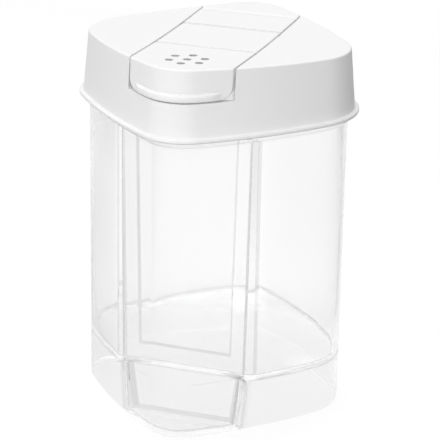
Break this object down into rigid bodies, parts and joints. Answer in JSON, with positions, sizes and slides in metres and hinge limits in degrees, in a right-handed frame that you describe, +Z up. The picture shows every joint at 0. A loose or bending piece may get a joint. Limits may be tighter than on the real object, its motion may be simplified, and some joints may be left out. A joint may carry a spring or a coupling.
{
  "type": "grated cheese shaker",
  "caption": "Clear square shaker jar with a raised floor and a front well, and a white push-on cap with a perforated pour flap and a closed rear flap.",
  "frame": {"origin": "centre of the footprint on the table, under the middle of the lid", "axes": "+Z up, the perforated flap's nose points along -Y, and the strip with the flaps runs along Y"},
  "size_m": [0.1042, 0.1076, 0.138],
  "materials": {
    "clear_plastic": "clear, smooth and glossy, injection moulded",
    "white_plastic": "satin, fine moulded grain"
  },
  "bodies": {
    "container": {"body": "clear_plastic"},
    "cap": {"lid": "white_plastic", "centre_bridge": "white_plastic", "front_film_hinge": "white_plastic", "rear_film_hinge": "white_plastic"},
    "pour_flap": {"front_flap": "white_plastic"},
    "spoon_flap": {"rear_flap": "white_plastic"}
  },
  "joints": [
    {"name": "lid_lift", "type": "slide", "parent": "container", "child": "cap", "axis": [0, 0, 1], "range_m": [0, 0.04]},
    {"name": "front_flap_hinge", "type": "hinge", "parent": "cap", "child": "pour_flap", "pos_m": [0, -0.0145, 0.13581], "axis": [-1, 0, 0], "range_deg": [0, 105], "deforming": ["front_film_hinge"]},
    {"name": "rear_flap_hinge", "type": "hinge", "parent": "cap", "child": "spoon_flap", "pos_m": [0, 0.0145, 0.13541], "axis": [1, 0, 0], "range_deg": [0, 105], "deforming": ["rear_film_hinge"]}
  ]
}
